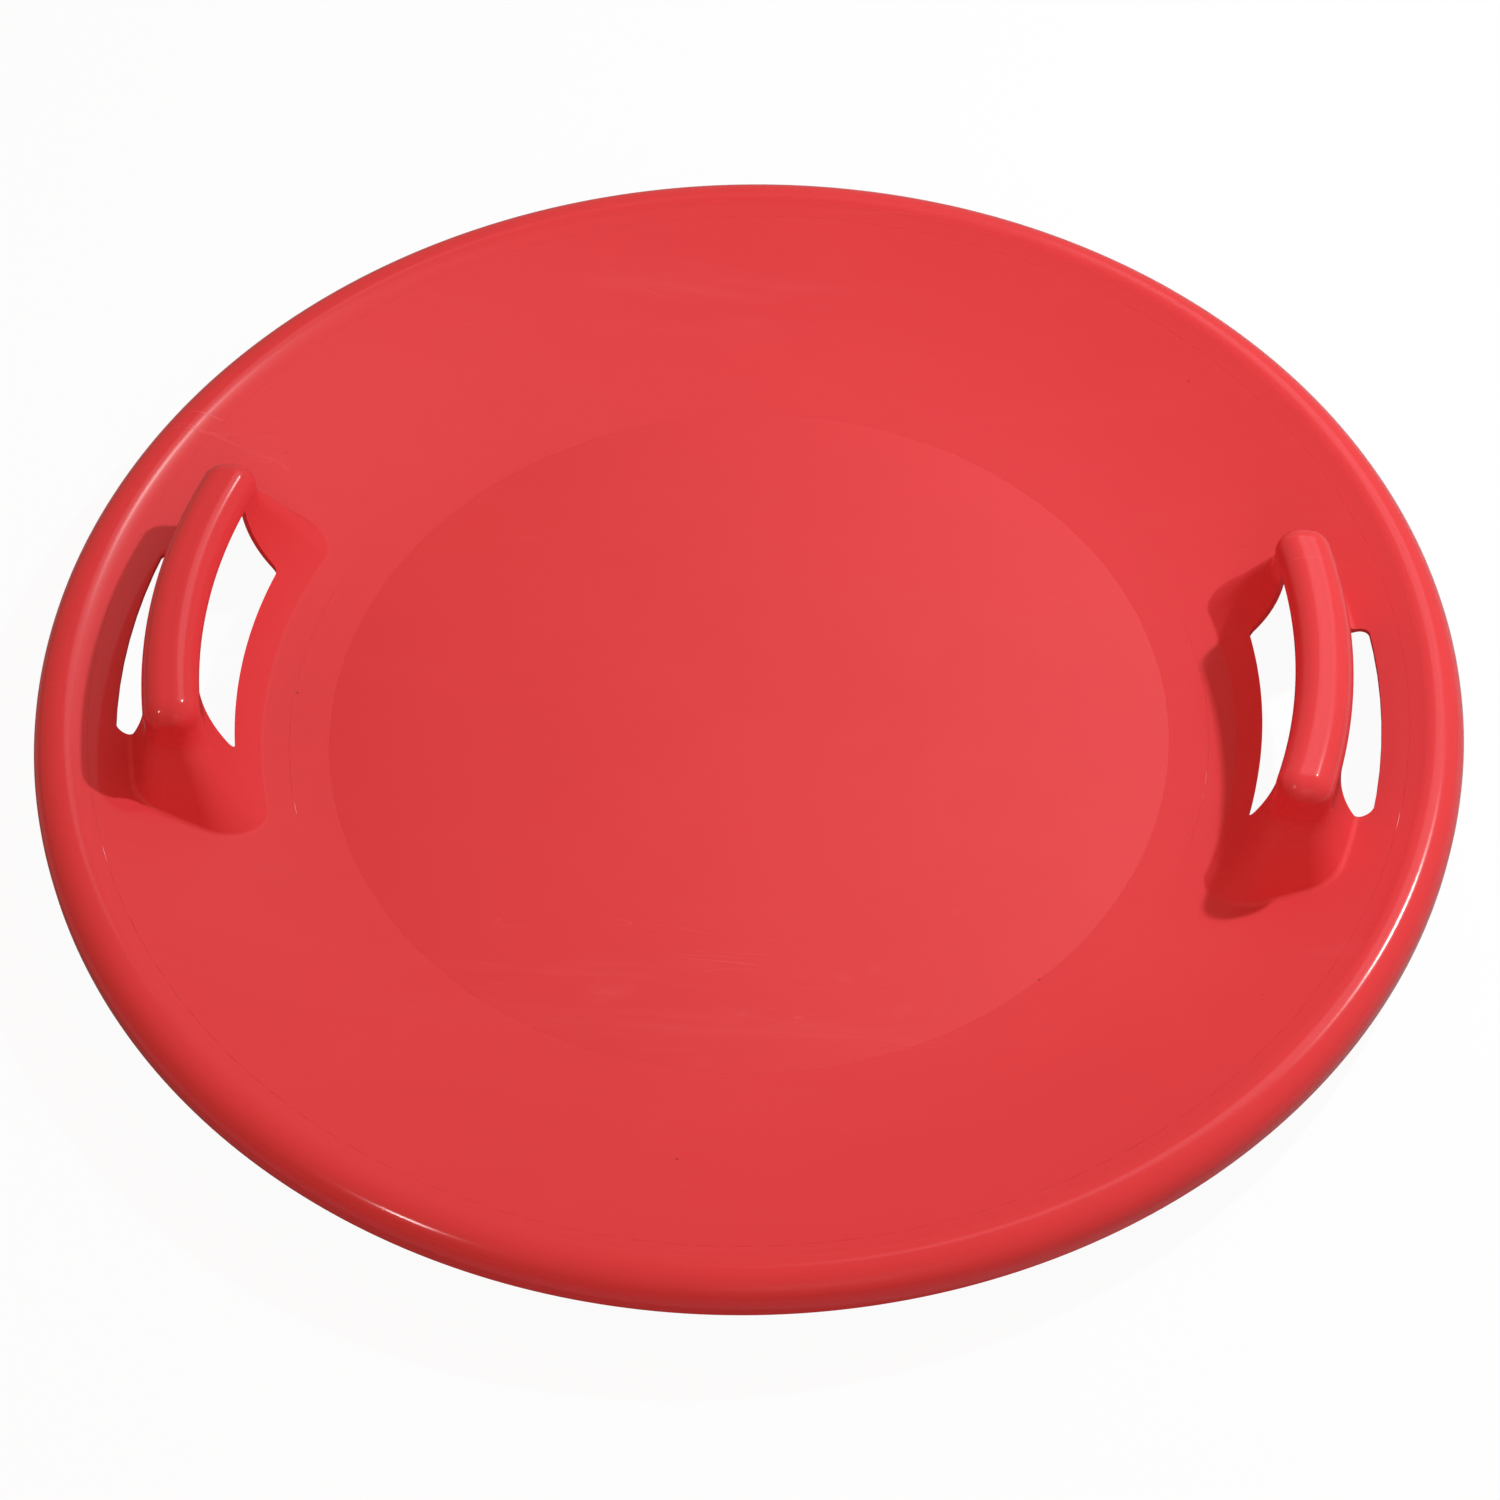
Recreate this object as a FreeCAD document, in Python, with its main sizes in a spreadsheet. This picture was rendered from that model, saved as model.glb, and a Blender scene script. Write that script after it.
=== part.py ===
import FreeCAD, Part
import math
import os
import Sketcher

# Round saucer sled: one glossy plastic moulding with a flat seat, a curved side wall, a rolled
# rim and two raised hand grips. Millimetres, +Z up, origin under the middle of the flat seat.
# The grips stand on the +X and -X sides, and the front of the sled faces -Y.

doc = FreeCAD.newDocument("saucer_sled")

# Driving sizes, in millimetres
SIZES = [
    ("overall_diameter", 650.0),
    ("slope_width", 130.0),
    ("wall_thickness", 2.0),
    ("rim_height", 44.0),
    ("rim_width", 25.0),
    ("rim_roll_radius", 12.0),
    ("lip_drop", 17.5),
    ("slope_radius", 317.0),
    ("grip_setback", 53.5),
    ("grip_width", 25.5),
    ("grip_length", 157.0),
    ("grip_height", 76.0),
    ("grip_depth", 12.0),
    ("grip_edge_share", 0.9),
    ("grip_corner_radius", 11.0),
    ("foot_inner_corner_radius", 38.0),
    ("foot_outer_corner_radius", 52.0),
    ("foot_knee_radius", 35.0),
    ("foot_inner_spread", 29.0),
    ("foot_outer_spread", 50.5),
    ("foot_end_spread", 27.0),
    ("foot_fillet", 2.5),
    ("sill_spread", 10.3),
    ("slot_width", 17.0),
    ("slot_corner_radius", 6.0),
    ("window_corner_radius", 2.0),
    ("window_length", 109.0),
    ("patch_inner_spread", 33.0),
    ("patch_end_spread", 34.0),
    ("patch_corner_radius", 26.0),
    ("cut_overrun", 20.0),
]

sheet = doc.addObject("Spreadsheet::Sheet", "sizes")
for row, (alias, number) in enumerate(SIZES, start=1):
    sheet.set("A%d" % row, alias)
    sheet.set("B%d" % row, str(number))
    sheet.setAlias("B%d" % row, alias)
doc.recompute()


def size(alias):
    """Reads one driving size from the sheet."""
    return float(sheet.get(alias))


# Radii from the sled's axis, measured in from the rim's outer edge, and the grip's shoulder height
SEAT_EDGE = "(sizes.overall_diameter / 2 - sizes.slope_width)"
RIM_EDGE = "(sizes.overall_diameter / 2 - sizes.rim_width)"
FAR_SIDE = "(sizes.overall_diameter / 2 - sizes.grip_setback)"
NEAR_SIDE = "(sizes.overall_diameter / 2 - sizes.grip_setback - sizes.grip_width)"
SHOULDER = "(sizes.grip_height - sizes.grip_depth)"

# The seam of the round forms is turned well clear of both grips, in degrees
SEAM_TURN = 62


def turned_about_axis(degrees):
    """Gives a placement turned about the sled's upright axis."""
    return FreeCAD.Placement(FreeCAD.Vector(0, 0, 0), FreeCAD.Rotation(FreeCAD.Vector(0, 0, 1), degrees))


def origin_plane(body, role):
    """Finds one of the body's own origin planes by its role."""
    return [item for item in body.Origin.OriginFeatures if item.Role == role][0]


def new_sketch(body, name, role, height=None):
    """Adds a sketch on one of the body's origin planes, raised by an expression."""
    sketch = body.newObject("Sketcher::SketchObject", name)
    sketch.AttachmentSupport = [(origin_plane(body, role), "")]
    sketch.MapMode = "FlatFace"
    if height:
        sketch.setExpression("AttachmentOffset.Base.z", height)
    return sketch


def drive(sketch, name, expression, constraint):
    """Adds a dimension to a sketch and binds it to an expression of sheet cells."""
    index = sketch.addConstraint(constraint)
    sketch.renameConstraint(index, name)
    sketch.setExpression("Constraints." + name, expression)


def arc(centre, radius, start, end):
    """Makes an arc of a circle in the sketch plane, anticlockwise from start to end."""
    circle = Part.Circle(FreeCAD.Vector(*centre, 0), FreeCAD.Vector(0, 0, 1), radius)
    return Part.ArcOfCircle(circle, start, end)


def line(start, end):
    """Makes a straight segment in the sketch plane."""
    return Part.LineSegment(FreeCAD.Vector(*start, 0), FreeCAD.Vector(*end, 0))


def bent_outline(sketch, inner, outer, length, inner_corner, outer_corner):
    """Draws a rounded rectangle that is bent about the sled's axis.

    Each size is a pair: its value now, and the expression that drives it.
    """
    half = length[0] / 2
    inner_rise = half - inner_corner[0]
    outer_rise = half - outer_corner[0]
    inner_x = math.sqrt((inner[0] + inner_corner[0]) ** 2 - inner_rise ** 2)
    outer_x = math.sqrt((outer[0] - outer_corner[0]) ** 2 - outer_rise ** 2)
    inner_turn = math.atan2(inner_rise, inner_x)
    outer_turn = math.atan2(outer_rise, outer_x)
    quarter = math.pi / 2
    sketch.addGeometry([
        arc((0, 0), inner[0], -inner_turn, inner_turn),
        arc((inner_x, inner_rise), inner_corner[0], quarter, math.pi + inner_turn),
        line((inner_x, half), (outer_x, half)),
        arc((outer_x, outer_rise), outer_corner[0], outer_turn, quarter),
        arc((0, 0), outer[0], -outer_turn, outer_turn),
        arc((outer_x, -outer_rise), outer_corner[0], -quarter, -outer_turn),
        line((inner_x, -half), (outer_x, -half)),
        arc((inner_x, -inner_rise), inner_corner[0], math.pi - inner_turn, math.pi + quarter),
    ], False)
    joins = [(0, 2, 1, 2), (1, 1, 2, 1), (2, 2, 3, 2), (3, 1, 4, 2)]
    joins += [(4, 1, 5, 2), (5, 1, 6, 2), (6, 1, 7, 2), (7, 1, 0, 1)]
    for first, first_end, second, second_end in joins:
        sketch.addConstraint(Sketcher.Constraint("Tangent", first, first_end, second, second_end))
    sketch.addConstraint(Sketcher.Constraint("Coincident", 0, 3, -1, 1))
    sketch.addConstraint(Sketcher.Constraint("Coincident", 4, 3, -1, 1))
    sketch.addConstraint(Sketcher.Constraint("Horizontal", 2))
    sketch.addConstraint(Sketcher.Constraint("Horizontal", 6))
    sketch.addConstraint(Sketcher.Constraint("Equal", 1, 7))
    sketch.addConstraint(Sketcher.Constraint("Equal", 3, 5))
    drive(sketch, "inner_arc", inner[1], Sketcher.Constraint("Radius", 0, inner[0]))
    drive(sketch, "outer_arc", outer[1], Sketcher.Constraint("Radius", 4, outer[0]))
    drive(sketch, "inner_corner", inner_corner[1], Sketcher.Constraint("Radius", 1, inner_corner[0]))
    drive(sketch, "outer_corner", outer_corner[1], Sketcher.Constraint("Radius", 3, outer_corner[0]))
    rear = Sketcher.Constraint("DistanceY", -1, 1, 2, 1, half)
    front = Sketcher.Constraint("DistanceY", 6, 1, -1, 1, half)
    drive(sketch, "rear_end", "(%s) / 2" % length[1], rear)
    drive(sketch, "front_end", "(%s) / 2" % length[1], front)


def cell(alias):
    """Pairs a sheet cell's value with its expression."""
    return size(alias), "sizes." + alias


def tangent_start(start, centre, roll, radius):
    """Finds the middle of an arc that leaves start and runs smoothly into the rim's roll."""
    gap = (start[0] - centre[0], start[1] - centre[1])
    reach = math.hypot(*gap)
    lean = ((roll ** 2 - reach ** 2) / (2 * radius) + roll) / reach
    turn = math.atan2(gap[1], gap[0]) - math.acos(lean)
    return start[0] + radius * math.cos(turn), start[1] + radius * math.sin(turn)


def angle_from(centre, point):
    """Gives the direction from a centre to a point."""
    return math.atan2(point[1] - centre[1], point[0] - centre[0])


wall = size("wall_thickness")
outer_radius = size("overall_diameter") / 2
seat_radius = outer_radius - size("slope_width")
far_side = outer_radius - size("grip_setback")
near_side = far_side - size("grip_width")
shoulder = size("grip_height") - size("grip_depth")
roll = size("rim_roll_radius")
roll_centre = (outer_radius - roll, size("rim_height") - roll)
lip_end = size("rim_height") - size("lip_drop") + wall / 2


def flank_arcs(slope_start, roll_radius, slope_radius):
    """Gives the slope's centre and its tangent direction on the rim's roll."""
    centre = tangent_start(slope_start, roll_centre, roll_radius, slope_radius)
    return centre, angle_from(roll_centre, centre)


# Flat seat that the rider sits on and the sled glides on
seat = doc.addObject("Part::Cylinder", "seat_disc")
seat.setExpression("Radius", SEAT_EDGE)
seat.setExpression("Height", "sizes.wall_thickness")

# Section of the dish outside the seat: curved side wall, rolled rim and turned-down lip
dish = doc.addObject("PartDesign::Body", "dish_form")
dish_sketch = new_sketch(dish, "dish_section", "XZ_Plane")
top_radius = size("slope_radius")
low_radius = top_radius + wall
top_centre, top_turn = flank_arcs((seat_radius, wall), roll, top_radius)
low_centre, low_turn = flank_arcs((seat_radius, 0), roll - wall, low_radius)
dish_sketch.addGeometry([
    arc(top_centre, top_radius, angle_from(top_centre, (seat_radius, wall)), top_turn - math.pi),
    arc(roll_centre, roll, 0, top_turn),
    line((outer_radius, roll_centre[1]), (outer_radius, lip_end)),
    arc((outer_radius - wall / 2, lip_end), wall / 2, math.pi, 2 * math.pi),
    line((outer_radius - wall, lip_end), (outer_radius - wall, roll_centre[1])),
    arc(roll_centre, roll - wall, 0, low_turn),
    arc(low_centre, low_radius, angle_from(low_centre, (seat_radius, 0)), low_turn - math.pi),
    line((seat_radius, 0), (seat_radius, wall)),
], False)
for joined in [(0, 2, 1, 2), (1, 1, 2, 1), (2, 2, 3, 2), (3, 1, 4, 1), (4, 2, 5, 1), (5, 2, 6, 2)]:
    dish_sketch.addConstraint(Sketcher.Constraint("Tangent", *joined))
for joined in [(6, 1, 7, 1), (7, 2, 0, 1), (5, 3, 1, 3)]:
    dish_sketch.addConstraint(Sketcher.Constraint("Coincident", *joined))
for upright in (2, 4, 7):
    dish_sketch.addConstraint(Sketcher.Constraint("Vertical", upright))
dish_sketch.addConstraint(Sketcher.Constraint("PointOnObject", 7, 1, -1))
drive(dish_sketch, "seat_edge", SEAT_EDGE,
      Sketcher.Constraint("DistanceX", -1, 1, 7, 1, seat_radius))
drive(dish_sketch, "seam", "sizes.wall_thickness",
      Sketcher.Constraint("DistanceY", 7, 1, 7, 2, wall))
drive(dish_sketch, "outer_edge", "sizes.overall_diameter / 2",
      Sketcher.Constraint("DistanceX", -1, 1, 2, 1, outer_radius))
drive(dish_sketch, "roll", "sizes.rim_roll_radius", Sketcher.Constraint("Radius", 1, roll))
drive(dish_sketch, "lip_end", "sizes.wall_thickness / 2", Sketcher.Constraint("Radius", 3, wall / 2))
drive(dish_sketch, "slope", "sizes.slope_radius", Sketcher.Constraint("Radius", 0, top_radius))
drive(dish_sketch, "slope_below", "sizes.slope_radius + sizes.wall_thickness",
      Sketcher.Constraint("Radius", 6, low_radius))
drive(dish_sketch, "roll_height", "sizes.rim_height - sizes.rim_roll_radius",
      Sketcher.Constraint("DistanceY", -1, 1, 1, 3, roll_centre[1]))
drive(dish_sketch, "lip", "sizes.lip_drop - sizes.rim_roll_radius - sizes.wall_thickness / 2",
      Sketcher.Constraint("DistanceY", 2, 2, 1, 3, roll_centre[1] - lip_end))
doc.recompute()
dish_turn = dish.newObject("PartDesign::Revolution", "dish_turn")
dish_turn.Profile = dish_sketch
dish_turn.ReferenceAxis = (dish_sketch, ["V_Axis"])
dish_turn.Angle = 360
dish.Placement = turned_about_axis(SEAM_TURN)
doc.recompute()

# Space over the underside of the dish, which bounds the grips below
space = doc.addObject("PartDesign::Body", "space_form")
space_sketch = new_sketch(space, "space_section", "XZ_Plane")
space_top = size("grip_height") + size("cut_overrun")
crest_x = roll_centre[0]
crest_low = size("rim_height") - wall
space_sketch.addGeometry([
    arc(low_centre, low_radius, angle_from(low_centre, (seat_radius, 0)), low_turn - math.pi),
    arc(roll_centre, roll - wall, math.pi / 2, low_turn),
    line((crest_x, crest_low), (crest_x, space_top)),
    line((crest_x, space_top), (seat_radius, space_top)),
    line((seat_radius, space_top), (seat_radius, 0)),
], False)
space_sketch.addConstraint(Sketcher.Constraint("Tangent", 0, 2, 1, 2))
for joined in [(1, 1, 2, 1), (2, 2, 3, 1), (3, 2, 4, 1), (4, 2, 0, 1)]:
    space_sketch.addConstraint(Sketcher.Constraint("Coincident", *joined))
space_sketch.addConstraint(Sketcher.Constraint("Vertical", 2))
space_sketch.addConstraint(Sketcher.Constraint("Horizontal", 3))
space_sketch.addConstraint(Sketcher.Constraint("Vertical", 4))
space_sketch.addConstraint(Sketcher.Constraint("Vertical", 1, 1, 1, 3))
space_sketch.addConstraint(Sketcher.Constraint("PointOnObject", 4, 2, -1))
drive(space_sketch, "seat_edge", SEAT_EDGE,
      Sketcher.Constraint("DistanceX", -1, 1, 4, 2, seat_radius))
drive(space_sketch, "crest", "sizes.overall_diameter / 2 - sizes.rim_roll_radius",
      Sketcher.Constraint("DistanceX", -1, 1, 1, 3, crest_x))
drive(space_sketch, "roll_height", "sizes.rim_height - sizes.rim_roll_radius",
      Sketcher.Constraint("DistanceY", -1, 1, 1, 3, roll_centre[1]))
drive(space_sketch, "roll_below", "sizes.rim_roll_radius - sizes.wall_thickness",
      Sketcher.Constraint("Radius", 1, roll - wall))
drive(space_sketch, "slope_below", "sizes.slope_radius + sizes.wall_thickness",
      Sketcher.Constraint("Radius", 0, low_radius))
drive(space_sketch, "over", "sizes.grip_height + sizes.cut_overrun",
      Sketcher.Constraint("DistanceY", -1, 1, 2, 2, space_top))
doc.recompute()
space_turn = space.newObject("PartDesign::Revolution", "space_turn")
space_turn.Profile = space_sketch
space_turn.ReferenceAxis = (space_sketch, ["V_Axis"])
space_turn.Angle = 360
space.Placement = turned_about_axis(SEAM_TURN)
doc.recompute()


def flare(spread, inset, inset_text):
    """Gives the radius of a flare that leaves the shoulder upright and spreads so far at the ground.

    It is a pair: the radius now, and the expression that drives it.
    """
    reach = size(spread)
    radius = (shoulder ** 2 + reach ** 2) / (2 * reach) + inset
    text = "(%s^2 + sizes.%s^2) / (2 * sizes.%s) + %s" % (SHOULDER, spread, spread, inset_text)
    return radius, text


def knee_lean():
    """Gives the lean of a foot's end, which leaves the knee smoothly and spreads so far at the ground.

    It is a pair: the angle now, and the expression that drives it.
    """
    knee = size("foot_knee_radius")
    run = knee - size("foot_end_spread")
    lean = math.atan2(shoulder, run) - math.acos(knee / math.hypot(run, shoulder))
    run_text = "(sizes.foot_knee_radius - sizes.foot_end_spread)"
    far_text = "sqrt(%s^2 + %s^2)" % (run_text, SHOULDER)
    text = "(atan2(%s; %s) - acos(sizes.foot_knee_radius / %s))" % (SHOULDER, run_text, far_text)
    return lean, text


def grip_bodies(name, inset, inset_text):
    """Makes the two bodies whose common part is a grip.

    The first is the grip's section turned about the sled's axis, the second its view from the
    side of the sled. inset is how far the surface lies inside the grip's outer skin.
    """
    near_flare, near_flare_text = flare("foot_inner_spread", inset, inset_text)
    far_flare, far_flare_text = flare("foot_outer_spread", inset, inset_text)
    near = near_side + inset
    far = far_side - inset
    top = size("grip_height") - inset
    near_turn = math.asin(shoulder / near_flare)
    far_turn = math.asin(shoulder / far_flare)
    near_foot = near - near_flare * (1 - math.cos(near_turn))
    far_foot = far + far_flare * (1 - math.cos(far_turn))

    section_body = doc.addObject("PartDesign::Body", name + "_section_form")
    section = new_sketch(section_body, name + "_section", "XZ_Plane")
    section.addGeometry([
        arc((near - near_flare, shoulder), near_flare, -near_turn, 0),
        line((near, shoulder), (near, top)),
        line((near, top), (far, top)),
        line((far, top), (far, shoulder)),
        arc((far + far_flare, shoulder), far_flare, math.pi, math.pi + far_turn),
        line((far_foot, 0), (near_foot, 0)),
    ], False)
    for joined in [(0, 2, 1, 1), (3, 2, 4, 1)]:
        section.addConstraint(Sketcher.Constraint("Tangent", *joined))
    for joined in [(1, 2, 2, 1), (2, 2, 3, 1), (4, 2, 5, 1), (5, 2, 0, 1)]:
        section.addConstraint(Sketcher.Constraint("Coincident", *joined))
    for upright in (1, 3):
        section.addConstraint(Sketcher.Constraint("Vertical", upright))
    section.addConstraint(Sketcher.Constraint("Horizontal", 2))
    section.addConstraint(Sketcher.Constraint("PointOnObject", 5, 1, -1))
    section.addConstraint(Sketcher.Constraint("PointOnObject", 5, 2, -1))
    drive(section, "near_side", "%s + %s" % (NEAR_SIDE, inset_text),
          Sketcher.Constraint("DistanceX", -1, 1, 1, 1, near))
    drive(section, "far_side", "%s - %s" % (FAR_SIDE, inset_text),
          Sketcher.Constraint("DistanceX", -1, 1, 3, 1, far))
    drive(section, "near_shoulder", SHOULDER,
          Sketcher.Constraint("DistanceY", -1, 1, 1, 1, shoulder))
    drive(section, "far_shoulder", SHOULDER,
          Sketcher.Constraint("DistanceY", -1, 1, 3, 2, shoulder))
    drive(section, "top", "sizes.grip_height - %s" % inset_text,
          Sketcher.Constraint("DistanceY", -1, 1, 2, 1, top))
    drive(section, "near_flare", near_flare_text, Sketcher.Constraint("Radius", 0, near_flare))
    drive(section, "far_flare", far_flare_text, Sketcher.Constraint("Radius", 4, far_flare))
    doc.recompute()
    turned = section_body.newObject("PartDesign::Revolution", name + "_turn")
    turned.Profile = section
    turned.ReferenceAxis = (section, ["V_Axis"])
    turned.Angle = 120
    turned.Midplane = True
    doc.recompute()

    end_body = doc.addObject("PartDesign::Body", name + "_end_form")
    ends = new_sketch(end_body, name + "_ends", "YZ_Plane")
    half = size("grip_length") / 2 - inset
    over = size("grip_height") + size("cut_overrun")
    lean, lean_text = knee_lean()
    knee = size("foot_knee_radius") + inset
    knee_out = half + knee * (1 - math.cos(lean))
    knee_low = shoulder - knee * math.sin(lean)
    end_foot = knee_out + knee_low * math.tan(lean)
    ends.addGeometry([
        arc((half + knee, shoulder), knee, math.pi, math.pi + lean),
        line((end_foot, 0), (-end_foot, 0)),
        arc((-half - knee, shoulder), knee, -lean, 0),
        line((-half, shoulder), (-half, over)),
        line((-half, over), (half, over)),
        line((half, over), (half, shoulder)),
        line((knee_out, knee_low), (end_foot, 0)),
        line((-end_foot, 0), (-knee_out, knee_low)),
    ], False)
    for joined in [(5, 2, 0, 1), (2, 2, 3, 1), (0, 2, 6, 1), (7, 2, 2, 1)]:
        ends.addConstraint(Sketcher.Constraint("Tangent", *joined))
    for joined in [(6, 2, 1, 1), (1, 2, 7, 1), (3, 2, 4, 1), (4, 2, 5, 1)]:
        ends.addConstraint(Sketcher.Constraint("Coincident", *joined))
    for upright in (3, 5):
        ends.addConstraint(Sketcher.Constraint("Vertical", upright))
    ends.addConstraint(Sketcher.Constraint("Horizontal", 4))
    ends.addConstraint(Sketcher.Constraint("PointOnObject", 1, 1, -1))
    ends.addConstraint(Sketcher.Constraint("PointOnObject", 1, 2, -1))
    half_text = "sizes.grip_length / 2 - %s" % inset_text
    drive(ends, "rear_end", half_text, Sketcher.Constraint("DistanceX", -1, 1, 5, 1, half))
    drive(ends, "front_end", half_text, Sketcher.Constraint("DistanceX", 3, 1, -1, 1, half))
    drive(ends, "rear_shoulder", SHOULDER,
          Sketcher.Constraint("DistanceY", -1, 1, 5, 2, shoulder))
    drive(ends, "front_shoulder", SHOULDER,
          Sketcher.Constraint("DistanceY", -1, 1, 3, 1, shoulder))
    drive(ends, "over", "sizes.grip_height + sizes.cut_overrun",
          Sketcher.Constraint("DistanceY", -1, 1, 4, 1, over))
    knee_text = "sizes.foot_knee_radius + %s" % inset_text
    drive(ends, "rear_knee", knee_text, Sketcher.Constraint("Radius", 0, knee))
    drive(ends, "front_knee", knee_text, Sketcher.Constraint("Radius", 2, knee))
    foot_text = "%s + (%s) * (1 - cos(%s)) + (%s - (%s) * sin(%s)) * tan(%s)" % (
        half_text, knee_text, lean_text, SHOULDER, knee_text, lean_text, lean_text)
    drive(ends, "rear_foot", foot_text, Sketcher.Constraint("DistanceX", -1, 1, 1, 1, end_foot))
    drive(ends, "front_foot", foot_text, Sketcher.Constraint("DistanceX", 1, 2, -1, 1, end_foot))
    doc.recompute()
    pad = end_body.newObject("PartDesign::Pad", name + "_pad")
    pad.Profile = ends
    pad.setExpression("Length", "sizes.overall_diameter / 2")
    doc.recompute()
    return section_body, end_body


def boolean(kind, name, base, tool):
    """Combines two objects of the document."""
    result = doc.addObject("Part::" + kind, name)
    result.Base = base
    result.Tool = tool
    doc.recompute()
    return result


def rounded(name, base, radii):
    """Rounds the edges of a shape for which radii gives a radius at each end."""
    result = doc.addObject("Part::Fillet", name)
    result.Base = base
    pairs = [(number, radii(edge)) for number, edge in enumerate(base.Shape.Edges, start=1)]
    result.Edges = [(number, pair[0], pair[1]) for number, pair in pairs if pair]
    doc.recompute()
    return result


def mirrored(name, source, normal=(1, 0, 0)):
    """Repeats an object across a plane through the sled's axis."""
    copy = doc.addObject("Part::Mirroring", name)
    copy.Source = source
    copy.Normal = FreeCAD.Vector(*normal)
    doc.recompute()
    return copy


def grip_form(name, inset, inset_text):
    """Joins a grip's two views and rounds its corners, more towards the ground, and its top."""
    section_body, end_body = grip_bodies(name, inset, inset_text)
    blank = boolean("Common", name + "_blank_form", section_body, end_body)
    clear = size("window_length") / 4
    slim = size("grip_corner_radius") - inset
    inner_full = size("foot_inner_corner_radius") - inset
    outer_full = size("foot_outer_corner_radius") - inset
    middle = (near_side + far_side) / 2
    top = size("grip_height") - inset

    def corner_radii(edge):
        """Gives the radii at the two ends of an edge that runs down one of the grip's corners."""
        if edge.BoundBox.ZLength < wall or any(abs(vertex.Y) < clear for vertex in edge.Vertexes):
            return None
        if edge.BoundBox.ZMin > wall:
            return slim, slim
        first = edge.valueAt(edge.FirstParameter)
        last = edge.valueAt(edge.LastParameter)
        low = first if first.z < last.z else last
        full = inner_full if math.hypot(low.x, low.y) < middle else outer_full
        return (full, slim) if low is first else (slim, full)

    corners = rounded(name + "_corner_form", blank, corner_radii)
    depth = min(size("grip_depth"), size("grip_width") / 2)
    edge_radius = size("grip_edge_share") * depth - inset

    def top_radii(edge):
        """Gives the radius of an edge round the grip's top."""
        return (edge_radius, edge_radius) if edge.BoundBox.ZMin > top - wall / 10 else None

    return rounded(name + "_form", corners, top_radii)


# Outer skin of a grip, and the hollow that the mould's core leaves inside it
skin = grip_form("skin", 0.0, "0 * sizes.wall_thickness")
hollow = grip_form("hollow", wall, "sizes.wall_thickness")


def bent_pad(name, outline, bottom, height):
    """Raises a bent rounded rectangle from one height by another."""
    body = doc.addObject("PartDesign::Body", name)
    sketch = new_sketch(body, name + "_plan", "XY_Plane", bottom)
    bent_outline(sketch, *outline)
    doc.recompute()
    pad = body.newObject("PartDesign::Pad", name + "_pad")
    pad.Profile = sketch
    pad.setExpression("Length", height)
    doc.recompute()
    return body


# Opening under the grip, straight up from below: the fingers pass through it
slot_outline = (far_side + size("slot_width"), FAR_SIDE + " + sizes.slot_width")
window = bent_pad(
    "window_form",
    (
        (near_side - size("sill_spread"), NEAR_SIDE + " - sizes.sill_spread"),
        slot_outline,
        cell("window_length"),
        cell("window_corner_radius"),
        cell("slot_corner_radius"),
    ),
    "-sizes.cut_overrun",
    SHOULDER + " + sizes.cut_overrun",
)

# Patch of the side wall that belongs to each grip
patches = []
patch_inner = (near_side - size("patch_inner_spread"), NEAR_SIDE + " - sizes.patch_inner_spread")
patch_length = (
    size("grip_length") + 2 * size("patch_end_spread"),
    "(sizes.grip_length + 2 * sizes.patch_end_spread)",
)
patch_corner = cell("patch_corner_radius")
for side_name, half_turn in [("right", 0), ("left", 180)]:
    patch = bent_pad(
        side_name + "_patch_form",
        (patch_inner, slot_outline, patch_length, patch_corner, patch_corner),
        "-sizes.cut_overrun",
        "sizes.grip_height + 2 * sizes.cut_overrun",
    )
    patch.Placement = turned_about_axis(half_turn)
    patches.append(patch)
doc.recompute()
right_patch, left_patch = patches

# Parting between the side wall and the rim
parting = doc.addObject("Part::Cylinder", "parting_form")
parting.setExpression("Radius", RIM_EDGE)
parting.setExpression("Height", "sizes.rim_height + 2 * sizes.cut_overrun")
parting.setExpression("Placement.Base.z", "-sizes.cut_overrun")
doc.recompute()
rim = boolean("Cut", "rim_roll", dish, parting)
ring = boolean("Common", "ring_form", dish, parting)
side_right = boolean("Cut", "side_right_form", ring, right_patch)
side = boolean("Cut", "side_wall", side_right, left_patch)
right_loss = ring.Shape.Volume - side_right.Shape.Volume
left_loss = side_right.Shape.Volume - side.Shape.Volume
if abs(right_loss - left_loss) > right_loss / 100 or right_loss <= 0:
    raise RuntimeError("the two grip openings of the side wall differ")


def slope_height(distance):
    """Gives the height of the side wall's upper surface at a distance from the axis."""
    return top_centre[1] - math.sqrt(top_radius ** 2 - (distance - top_centre[0]) ** 2)


def foot_radii(edge):
    """Gives the radius of an edge that lies where the grip's skin leaves the side wall."""
    skin_faces = skin.Shape.Shells[0]
    for share in (0.2, 0.5, 0.8):
        first, last = edge.ParameterRange
        point = edge.valueAt(first + share * (last - first))
        if abs(point.z - slope_height(math.hypot(point.x, point.y))) > wall / 100:
            return None
        if Part.Vertex(point).distToShape(skin_faces)[0] > wall / 100:
            return None
    return size("foot_fillet"), size("foot_fillet")


# Right grip as moulded: patch of side wall, hollow skin, rounded foot, finger opening
seat_patch = boolean("Common", "seat_patch_form", ring, right_patch)
raised = boolean("Common", "raised_form", skin, space)
trimmed = boolean("Common", "trimmed_form", raised, right_patch)
joined_grip = boolean("Fuse", "joined_form", seat_patch, trimmed)
footed = rounded("footed_form", joined_grip, foot_radii)
hollowed = boolean("Cut", "hollowed_form", footed, hollow)
opened = boolean("Cut", "opened_form", hollowed, window)


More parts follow.
